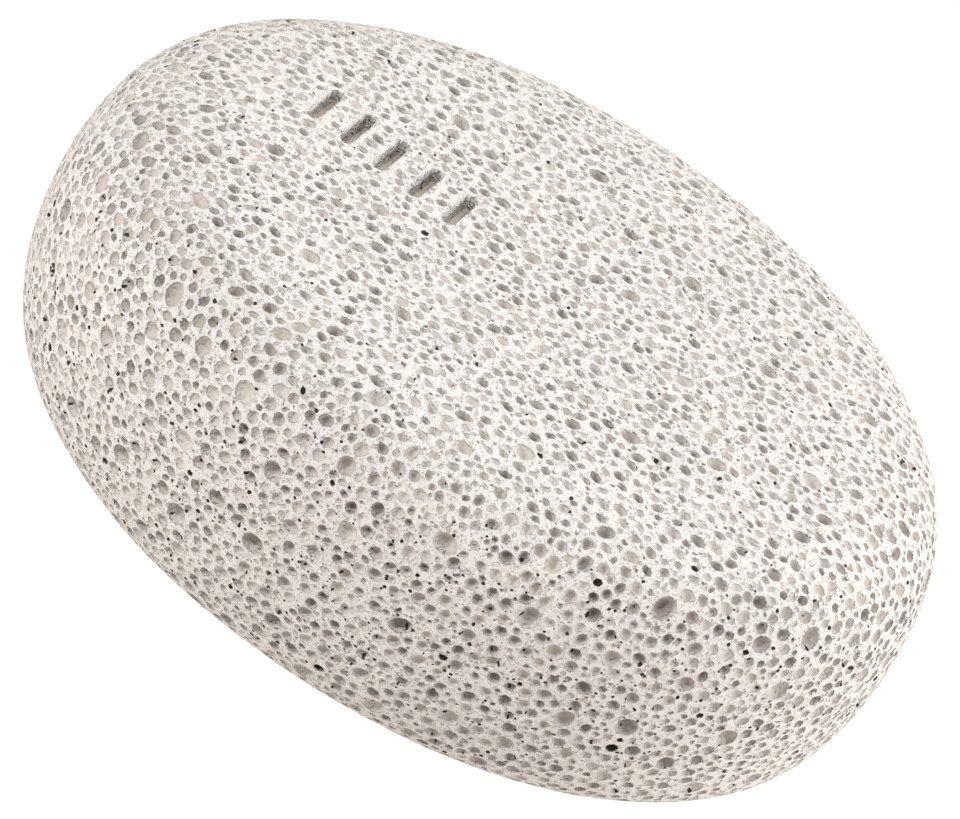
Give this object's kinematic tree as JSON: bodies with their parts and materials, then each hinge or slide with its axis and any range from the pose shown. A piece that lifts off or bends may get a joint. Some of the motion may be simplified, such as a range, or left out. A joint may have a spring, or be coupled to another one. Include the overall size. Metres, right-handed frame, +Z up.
{
  "type": "pumice stone",
  "caption": "Rounded oval pumice stone with broad flattened faces, open cells all over and a short row of plain notches on top.",
  "frame": {"origin": "middle of the worn flat on the underside, on which the stone rests", "axes": "+X along the stone's length, +Y across its width, +Z up through its thickness"},
  "size_m": [0.096, 0.0662, 0.038],
  "materials": {
    "pumice": "dry matte open-celled pumice, warm off-white with grey-beige cells"
  },
  "bodies": {
    "root": {"pumice_stone": "pumice"}
  },
  "joints": []
}
